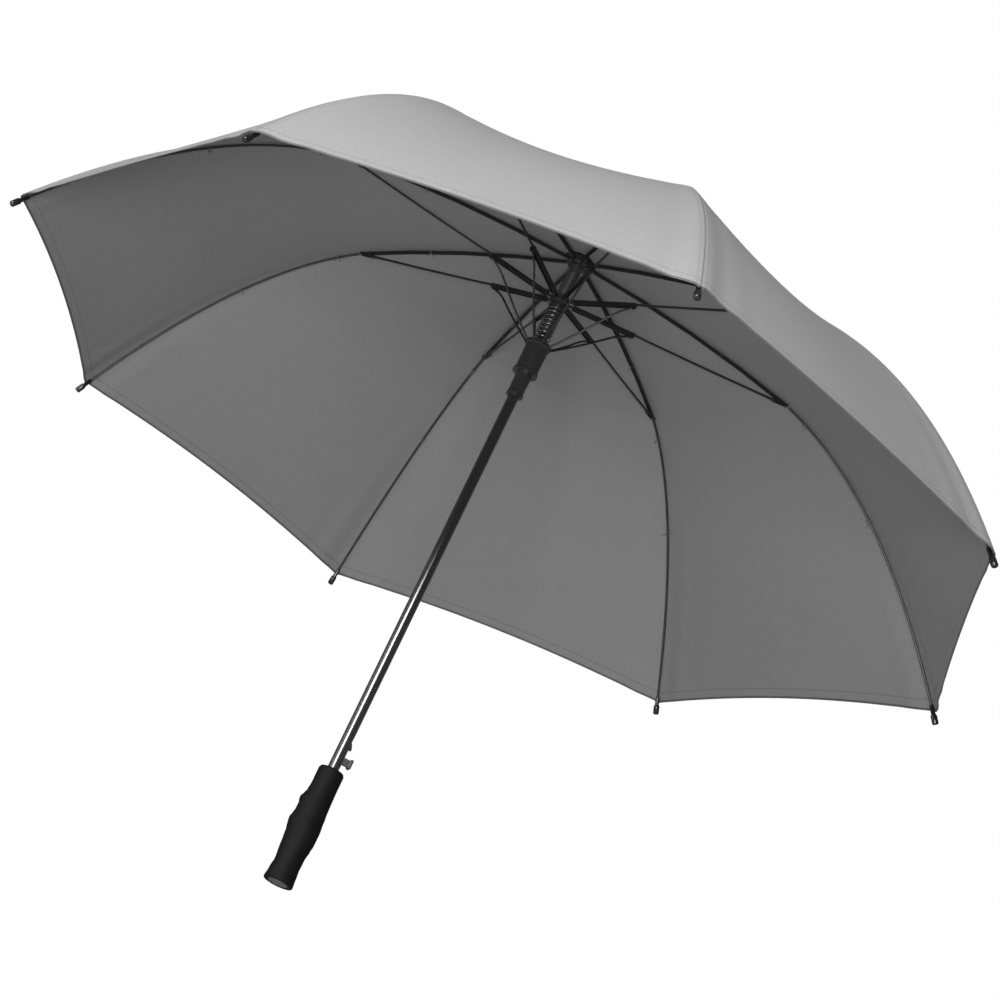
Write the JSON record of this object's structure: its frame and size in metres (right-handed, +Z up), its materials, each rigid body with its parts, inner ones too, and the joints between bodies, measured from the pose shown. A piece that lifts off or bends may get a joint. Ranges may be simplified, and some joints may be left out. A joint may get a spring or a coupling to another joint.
{
  "type": "stick umbrella",
  "caption": "Open automatic stick umbrella: grey fabric dome on hinged ribs, stretchers and struts, double runner with opening spring, black shaft and contoured grip",
  "frame": {"origin": "centre of the flat end of the grip, on the shaft's axis", "axes": "+Z up the shaft towards the crown and ferrule; +X towards the release button, on the palm side of the grip, and along rib 1; +Y along rib 3"},
  "size_m": [1.3198, 1.3198, 0.975],
  "materials": {
    "grey_pongee": "plain weave polyester",
    "black_fibreglass": "satin fibreglass rod",
    "black_coated_channel": "black coated steel channel",
    "stretcher_black": "black coated steel",
    "strut_black_wire": "black coated wire",
    "gloss_black_nylon": "gloss",
    "gloss_black_shaft": "gloss black paint",
    "runner_black_nylon": "semi gloss",
    "hub_black_nylon": "satin",
    "notch_black_nylon": "satin",
    "dark_spring_steel": "dark coil",
    "ribbed_sleeve": "satin",
    "matte_black_rubber": "matte soft touch",
    "grip_end_grey": "matte",
    "button_black": "matte",
    "catch_steel": "dark",
    "ferrule_black": "gloss",
    "crown_cap_black": "matte"
  },
  "bodies": {
    "umbrella_shaft": {"shaft_tube": "gloss_black_shaft", "top_notch": "notch_black_nylon", "buffer_sleeve": "ribbed_sleeve", "crown_cap": "crown_cap_black", "ferrule": "ferrule_black", "grip": "matte_black_rubber", "grip_end_cap": "grip_end_grey"},
    "rib_1": {"rib_channel_1": "black_coated_channel", "canopy_panel_1": "grey_pongee"},
    "rib_outer_1": {"rib_rod_1": "black_fibreglass", "rib_tip_cap_1": "gloss_black_nylon"},
    "stretcher_arm_1": {"stretcher_1": "stretcher_black"},
    "strut_arm_1": {"strut_1": "strut_black_wire"},
    "rib_2": {"rib_channel_2": "black_coated_channel", "canopy_panel_2": "grey_pongee"},
    "rib_outer_2": {"rib_rod_2": "black_fibreglass", "rib_tip_cap_2": "gloss_black_nylon"},
    "stretcher_arm_2": {"stretcher_2": "stretcher_black"},
    "strut_arm_2": {"strut_2": "strut_black_wire"},
    "rib_3": {"rib_channel_3": "black_coated_channel", "canopy_panel_3": "grey_pongee"},
    "rib_outer_3": {"rib_rod_3": "black_fibreglass", "rib_tip_cap_3": "gloss_black_nylon"},
    "stretcher_arm_3": {"stretcher_3": "stretcher_black"},
    "strut_arm_3": {"strut_3": "strut_black_wire"},
    "rib_4": {"rib_channel_4": "black_coated_channel", "canopy_panel_4": "grey_pongee"},
    "rib_outer_4": {"rib_rod_4": "black_fibreglass", "rib_tip_cap_4": "gloss_black_nylon"},
    "stretcher_arm_4": {"stretcher_4": "stretcher_black"},
    "strut_arm_4": {"strut_4": "strut_black_wire"},
    "rib_5": {"rib_channel_5": "black_coated_channel", "canopy_panel_5": "grey_pongee"},
    "rib_outer_5": {"rib_rod_5": "black_fibreglass", "rib_tip_cap_5": "gloss_black_nylon"},
    "stretcher_arm_5": {"stretcher_5": "stretcher_black"},
    "strut_arm_5": {"strut_5": "strut_black_wire"},
    "rib_6": {"rib_channel_6": "black_coated_channel", "canopy_panel_6": "grey_pongee"},
    "rib_outer_6": {"rib_rod_6": "black_fibreglass", "rib_tip_cap_6": "gloss_black_nylon"},
    "stretcher_arm_6": {"stretcher_6": "stretcher_black"},
    "strut_arm_6": {"strut_6": "strut_black_wire"},
    "rib_7": {"rib_channel_7": "black_coated_channel", "canopy_panel_7": "grey_pongee"},
    "rib_outer_7": {"rib_rod_7": "black_fibreglass", "rib_tip_cap_7": "gloss_black_nylon"},
    "stretcher_arm_7": {"stretcher_7": "stretcher_black"},
    "strut_arm_7": {"strut_7": "strut_black_wire"},
    "rib_8": {"rib_channel_8": "black_coated_channel", "canopy_panel_8": "grey_pongee"},
    "rib_outer_8": {"rib_rod_8": "black_fibreglass", "rib_tip_cap_8": "gloss_black_nylon"},
    "stretcher_arm_8": {"stretcher_8": "stretcher_black"},
    "strut_arm_8": {"strut_8": "strut_black_wire"},
    "upper_runner_body": {"upper_runner": "hub_black_nylon", "opening_spring": "dark_spring_steel"},
    "lower_runner_body": {"lower_runner": "runner_black_nylon"},
    "release_body": {"release_button": "button_black", "runner_catch": "catch_steel"}
  },
  "joints": [
    {"name": "rib_fold_1", "type": "hinge", "parent": "umbrella_shaft", "child": "rib_1", "pos_m": [0.011, 0, 0.8875], "axis": [0, 1, 0], "range_deg": [0, 76.52], "stiffness_Nm_per_rad": 5, "springref_deg": -31.51, "deforming": ["canopy_panel_1"]},
    {"name": "rib_flex_1", "type": "hinge", "parent": "rib_1", "child": "rib_outer_1", "pos_m": [0.3188, 0, 0.85795], "axis": [0, 1, 0], "range_deg": [-24.15, 0.3]},
    {"name": "stretcher_swing_1", "type": "hinge", "parent": "rib_1", "child": "stretcher_arm_1", "pos_m": [0.3188, 0, 0.85795], "axis": [0, 1, 0], "range_deg": [-153.53, 0.5]},
    {"name": "strut_swing_1", "type": "hinge", "parent": "stretcher_arm_1", "child": "strut_arm_1", "pos_m": [0.10133, 0, 0.83446], "axis": [0, 1, 0], "range_deg": [-0.3, 33.41]},
    {"name": "rib_fold_2", "type": "hinge", "parent": "umbrella_shaft", "child": "rib_2", "pos_m": [0.00778, 0.00778, 0.8875], "axis": [-0.7071, 0.7071, 0], "range_deg": [-0.2, 76.72], "deforming": ["canopy_panel_2"]},
    {"name": "rib_flex_2", "type": "hinge", "parent": "rib_2", "child": "rib_outer_2", "pos_m": [0.22543, 0.22543, 0.85795], "axis": [-0.7071, 0.7071, 0], "range_deg": [-24.15, 0.3]},
    {"name": "stretcher_swing_2", "type": "hinge", "parent": "rib_2", "child": "stretcher_arm_2", "pos_m": [0.22543, 0.22543, 0.85795], "axis": [-0.7071, 0.7071, 0], "range_deg": [-153.53, 0.5]},
    {"name": "strut_swing_2", "type": "hinge", "parent": "stretcher_arm_2", "child": "strut_arm_2", "pos_m": [0.07165, 0.07165, 0.83446], "axis": [-0.7071, 0.7071, 0], "range_deg": [-0.3, 33.41]},
    {"name": "rib_fold_3", "type": "hinge", "parent": "umbrella_shaft", "child": "rib_3", "pos_m": [0, 0.011, 0.8875], "axis": [-1, 0, 0], "range_deg": [-0.2, 76.72], "deforming": ["canopy_panel_3"]},
    {"name": "rib_flex_3", "type": "hinge", "parent": "rib_3", "child": "rib_outer_3", "pos_m": [0, 0.3188, 0.85795], "axis": [-1, 0, 0], "range_deg": [-24.15, 0.3]},
    {"name": "stretcher_swing_3", "type": "hinge", "parent": "rib_3", "child": "stretcher_arm_3", "pos_m": [0, 0.3188, 0.85795], "axis": [-1, 0, 0], "range_deg": [-153.53, 0.5]},
    {"name": "strut_swing_3", "type": "hinge", "parent": "stretcher_arm_3", "child": "strut_arm_3", "pos_m": [0, 0.10133, 0.83446], "axis": [-1, 0, 0], "range_deg": [-0.3, 33.41]},
    {"name": "rib_fold_4", "type": "hinge", "parent": "umbrella_shaft", "child": "rib_4", "pos_m": [-0.00778, 0.00778, 0.8875], "axis": [-0.7071, -0.7071, 0], "range_deg": [-0.2, 76.72], "deforming": ["canopy_panel_4"]},
    {"name": "rib_flex_4", "type": "hinge", "parent": "rib_4", "child": "rib_outer_4", "pos_m": [-0.22543, 0.22543, 0.85795], "axis": [-0.7071, -0.7071, 0], "range_deg": [-24.15, 0.3]},
    {"name": "stretcher_swing_4", "type": "hinge", "parent": "rib_4", "child": "stretcher_arm_4", "pos_m": [-0.22543, 0.22543, 0.85795], "axis": [-0.7071, -0.7071, 0], "range_deg": [-153.53, 0.5]},
    {"name": "strut_swing_4", "type": "hinge", "parent": "stretcher_arm_4", "child": "strut_arm_4", "pos_m": [-0.07165, 0.07165, 0.83446], "axis": [-0.7071, -0.7071, 0], "range_deg": [-0.3, 33.41]},
    {"name": "rib_fold_5", "type": "hinge", "parent": "umbrella_shaft", "child": "rib_5", "pos_m": [-0.011, 0, 0.8875], "axis": [0, -1, 0], "range_deg": [-0.2, 76.72], "deforming": ["canopy_panel_5"]},
    {"name": "rib_flex_5", "type": "hinge", "parent": "rib_5", "child": "rib_outer_5", "pos_m": [-0.3188, 0, 0.85795], "axis": [0, -1, 0], "range_deg": [-24.15, 0.3]},
    {"name": "stretcher_swing_5", "type": "hinge", "parent": "rib_5", "child": "stretcher_arm_5", "pos_m": [-0.3188, 0, 0.85795], "axis": [0, -1, 0], "range_deg": [-153.53, 0.5]},
    {"name": "strut_swing_5", "type": "hinge", "parent": "stretcher_arm_5", "child": "strut_arm_5", "pos_m": [-0.10133, 0, 0.83446], "axis": [0, -1, 0], "range_deg": [-0.3, 33.41]},
    {"name": "rib_fold_6", "type": "hinge", "parent": "umbrella_shaft", "child": "rib_6", "pos_m": [-0.00778, -0.00778, 0.8875], "axis": [0.7071, -0.7071, 0], "range_deg": [-0.2, 76.72], "deforming": ["canopy_panel_6"]},
    {"name": "rib_flex_6", "type": "hinge", "parent": "rib_6", "child": "rib_outer_6", "pos_m": [-0.22543, -0.22543, 0.85795], "axis": [0.7071, -0.7071, 0], "range_deg": [-24.15, 0.3]},
    {"name": "stretcher_swing_6", "type": "hinge", "parent": "rib_6", "child": "stretcher_arm_6", "pos_m": [-0.22543, -0.22543, 0.85795], "axis": [0.7071, -0.7071, 0], "range_deg": [-153.53, 0.5]},
    {"name": "strut_swing_6", "type": "hinge", "parent": "stretcher_arm_6", "child": "strut_arm_6", "pos_m": [-0.07165, -0.07165, 0.83446], "axis": [0.7071, -0.7071, 0], "range_deg": [-0.3, 33.41]},
    {"name": "rib_fold_7", "type": "hinge", "parent": "umbrella_shaft", "child": "rib_7", "pos_m": [0, -0.011, 0.8875], "axis": [1, 0, 0], "range_deg": [-0.2, 76.72], "deforming": ["canopy_panel_7"]},
    {"name": "rib_flex_7", "type": "hinge", "parent": "rib_7", "child": "rib_outer_7", "pos_m": [0, -0.3188, 0.85795], "axis": [1, 0, 0], "range_deg": [-24.15, 0.3]},
    {"name": "stretcher_swing_7", "type": "hinge", "parent": "rib_7", "child": "stretcher_arm_7", "pos_m": [0, -0.3188, 0.85795], "axis": [1, 0, 0], "range_deg": [-153.53, 0.5]},
    {"name": "strut_swing_7", "type": "hinge", "parent": "stretcher_arm_7", "child": "strut_arm_7", "pos_m": [0, -0.10133, 0.83446], "axis": [1, 0, 0], "range_deg": [-0.3, 33.41]},
    {"name": "rib_fold_8", "type": "hinge", "parent": "umbrella_shaft", "child": "rib_8", "pos_m": [0.00778, -0.00778, 0.8875], "axis": [0.7071, 0.7071, 0], "range_deg": [-0.2, 76.72], "deforming": ["canopy_panel_8"]},
    {"name": "rib_flex_8", "type": "hinge", "parent": "rib_8", "child": "rib_outer_8", "pos_m": [0.22543, -0.22543, 0.85795], "axis": [0.7071, 0.7071, 0], "range_deg": [-24.15, 0.3]},
    {"name": "stretcher_swing_8", "type": "hinge", "parent": "rib_8", "child": "stretcher_arm_8", "pos_m": [0.22543, -0.22543, 0.85795], "axis": [0.7071, 0.7071, 0], "range_deg": [-153.53, 0.5]},
    {"name": "strut_swing_8", "type": "hinge", "parent": "stretcher_arm_8", "child": "strut_arm_8", "pos_m": [0.07165, -0.07165, 0.83446], "axis": [0.7071, 0.7071, 0], "range_deg": [-0.3, 33.41]},
    {"name": "runner_hinge", "type": "hinge", "parent": "stretcher_arm_1", "child": "upper_runner_body", "pos_m": [0.011, 0, 0.8284], "axis": [0, 1, 0], "range_deg": [-0.3, 77.02]},
    {"name": "runner_travel", "type": "slide", "parent": "upper_runner_body", "child": "lower_runner_body", "axis": [0, 0, 1], "range_m": [-0.0005, 0.0448], "deforming": ["opening_spring"]},
    {"name": "button_press", "type": "slide", "parent": "umbrella_shaft", "child": "release_body", "axis": [-1, 0, 0], "range_m": [0, 0.0028], "stiffness_N_per_m": 400, "springref_m": -0.002, "deforming": ["runner_catch"]}
  ],
  "couplings": [
    {"joint": "rib_flex_1", "follows": "rib_fold_1", "ratio": -0.30904},
    {"joint": "stretcher_swing_1", "follows": "rib_fold_1", "ratio": -2},
    {"joint": "strut_swing_1", "follows": "rib_fold_1", "ratio": 0.43017},
    {"joint": "rib_fold_2", "follows": "rib_fold_1", "ratio": 1},
    {"joint": "rib_flex_2", "follows": "rib_fold_1", "ratio": -0.30904},
    {"joint": "stretcher_swing_2", "follows": "rib_fold_1", "ratio": -2},
    {"joint": "strut_swing_2", "follows": "rib_fold_1", "ratio": 0.43017},
    {"joint": "rib_fold_3", "follows": "rib_fold_1", "ratio": 1},
    {"joint": "rib_flex_3", "follows": "rib_fold_1", "ratio": -0.30904},
    {"joint": "stretcher_swing_3", "follows": "rib_fold_1", "ratio": -2},
    {"joint": "strut_swing_3", "follows": "rib_fold_1", "ratio": 0.43017},
    {"joint": "rib_fold_4", "follows": "rib_fold_1", "ratio": 1},
    {"joint": "rib_flex_4", "follows": "rib_fold_1", "ratio": -0.30904},
    {"joint": "stretcher_swing_4", "follows": "rib_fold_1", "ratio": -2},
    {"joint": "strut_swing_4", "follows": "rib_fold_1", "ratio": 0.43017},
    {"joint": "rib_fold_5", "follows": "rib_fold_1", "ratio": 1},
    {"joint": "rib_flex_5", "follows": "rib_fold_1", "ratio": -0.30904},
    {"joint": "stretcher_swing_5", "follows": "rib_fold_1", "ratio": -2},
    {"joint": "strut_swing_5", "follows": "rib_fold_1", "ratio": 0.43017},
    {"joint": "rib_fold_6", "follows": "rib_fold_1", "ratio": 1},
    {"joint": "rib_flex_6", "follows": "rib_fold_1", "ratio": -0.30904},
    {"joint": "stretcher_swing_6", "follows": "rib_fold_1", "ratio": -2},
    {"joint": "strut_swing_6", "follows": "rib_fold_1", "ratio": 0.43017},
    {"joint": "rib_fold_7", "follows": "rib_fold_1", "ratio": 1},
    {"joint": "rib_flex_7", "follows": "rib_fold_1", "ratio": -0.30904},
    {"joint": "stretcher_swing_7", "follows": "rib_fold_1", "ratio": -2},
    {"joint": "strut_swing_7", "follows": "rib_fold_1", "ratio": 0.43017},
    {"joint": "rib_fold_8", "follows": "rib_fold_1", "ratio": 1},
    {"joint": "rib_flex_8", "follows": "rib_fold_1", "ratio": -0.30904},
    {"joint": "stretcher_swing_8", "follows": "rib_fold_1", "ratio": -2},
    {"joint": "strut_swing_8", "follows": "rib_fold_1", "ratio": 0.43017},
    {"joint": "runner_hinge", "follows": "rib_fold_1", "ratio": 1},
    {"joint": "runner_travel", "follows": "rib_fold_1", "m_per_rad": 0.032796}
  ]
}
